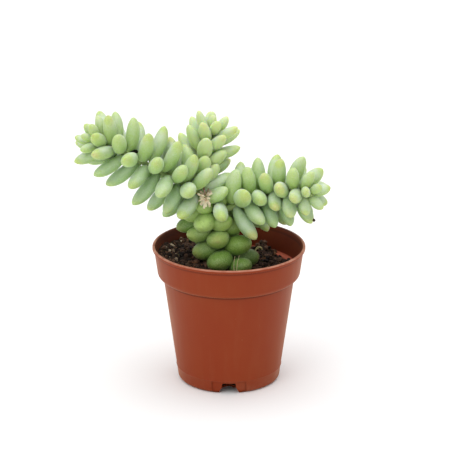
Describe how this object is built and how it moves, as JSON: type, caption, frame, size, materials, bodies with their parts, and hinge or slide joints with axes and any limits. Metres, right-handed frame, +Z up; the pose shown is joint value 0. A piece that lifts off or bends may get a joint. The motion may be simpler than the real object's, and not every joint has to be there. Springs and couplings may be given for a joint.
{
  "type": "potted burro's tail plant",
  "caption": "Burro's tail succulent with plump leafy stems branching from a short main stem, growing in a small tapered plastic nursery pot filled with soil.",
  "frame": {"origin": "middle of the pot's flat base, on the surface it stands on", "axes": "+Z up along the pot's axis, +X towards the short arm on the right, -Y towards the front of the pot"},
  "size_m": [0.0984, 0.06, 0.1098],
  "materials": {
    "pot_plastic": "satin",
    "potting_soil": "rough",
    "old_leaves": "satin",
    "young_leaves": "matte, with a waxy bloom",
    "dry_bracts": "matte"
  },
  "bodies": {
    "root": {"pot": "pot_plastic", "soil": "potting_soil", "main_stem": "old_leaves", "left_stem": "young_leaves", "centre_stem": "young_leaves", "right_stem": "young_leaves", "dried_flower": "dry_bracts"}
  },
  "joints": []
}
